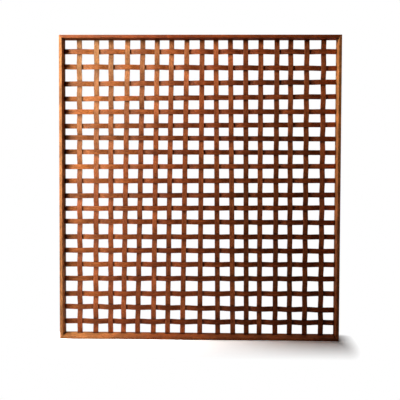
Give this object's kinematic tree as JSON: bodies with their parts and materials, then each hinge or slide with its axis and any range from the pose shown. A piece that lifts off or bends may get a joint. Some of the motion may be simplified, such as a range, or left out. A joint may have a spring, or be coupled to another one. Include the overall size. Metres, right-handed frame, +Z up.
{
  "type": "room divider",
  "caption": "Free-standing room divider panel: flat wood slats woven over and under in a deep mitred wood frame, open between the slats, standing on its bottom rail.",
  "frame": {"origin": "middle of the underside of the bottom rail, on the floor", "axes": "+X to the right along the panel, +Y to the back through its depth, +Z up; the front faces -Y"},
  "size_m": [1.829, 0.092, 1.988],
  "materials": {
    "frame_wood": "satin oiled, red-brown",
    "upright_wood": "satin oiled, red-brown",
    "cross_wood": "satin oiled, red-brown",
    "spline_wood": "bare, sawn"
  },
  "bodies": {
    "root": {"top_rail": "frame_wood", "bottom_rail": "frame_wood", "left_stile": "frame_wood", "right_stile": "frame_wood", "upright_slat_01": "upright_wood", "upright_slat_02": "upright_wood", "upright_slat_03": "upright_wood", "upright_slat_04": "upright_wood", "upright_slat_05": "upright_wood", "upright_slat_06": "upright_wood", "upright_slat_07": "upright_wood", "upright_slat_08": "upright_wood", "upright_slat_09": "upright_wood", "upright_slat_10": "upright_wood", "upright_slat_11": "upright_wood", "upright_slat_12": "upright_wood", "upright_slat_13": "upright_wood", "upright_slat_14": "upright_wood", "upright_slat_15": "upright_wood", "upright_slat_16": "upright_wood", "upright_slat_17": "upright_wood", "cross_slat_01": "cross_wood", "cross_slat_02": "cross_wood", "cross_slat_03": "cross_wood", "cross_slat_04": "cross_wood", "cross_slat_05": "cross_wood", "cross_slat_06": "cross_wood", "cross_slat_07": "cross_wood", "cross_slat_08": "cross_wood", "cross_slat_09": "cross_wood", "cross_slat_10": "cross_wood", "cross_slat_11": "cross_wood", "cross_slat_12": "cross_wood", "cross_slat_13": "cross_wood", "cross_slat_14": "cross_wood", "cross_slat_15": "cross_wood", "cross_slat_16": "cross_wood", "cross_slat_17": "cross_wood", "cross_slat_18": "cross_wood", "cross_slat_19": "cross_wood", "cross_slat_20": "cross_wood", "spline_top_left": "spline_wood", "spline_top_right": "spline_wood", "spline_bottom_left": "spline_wood", "spline_bottom_right": "spline_wood"}
  },
  "joints": []
}
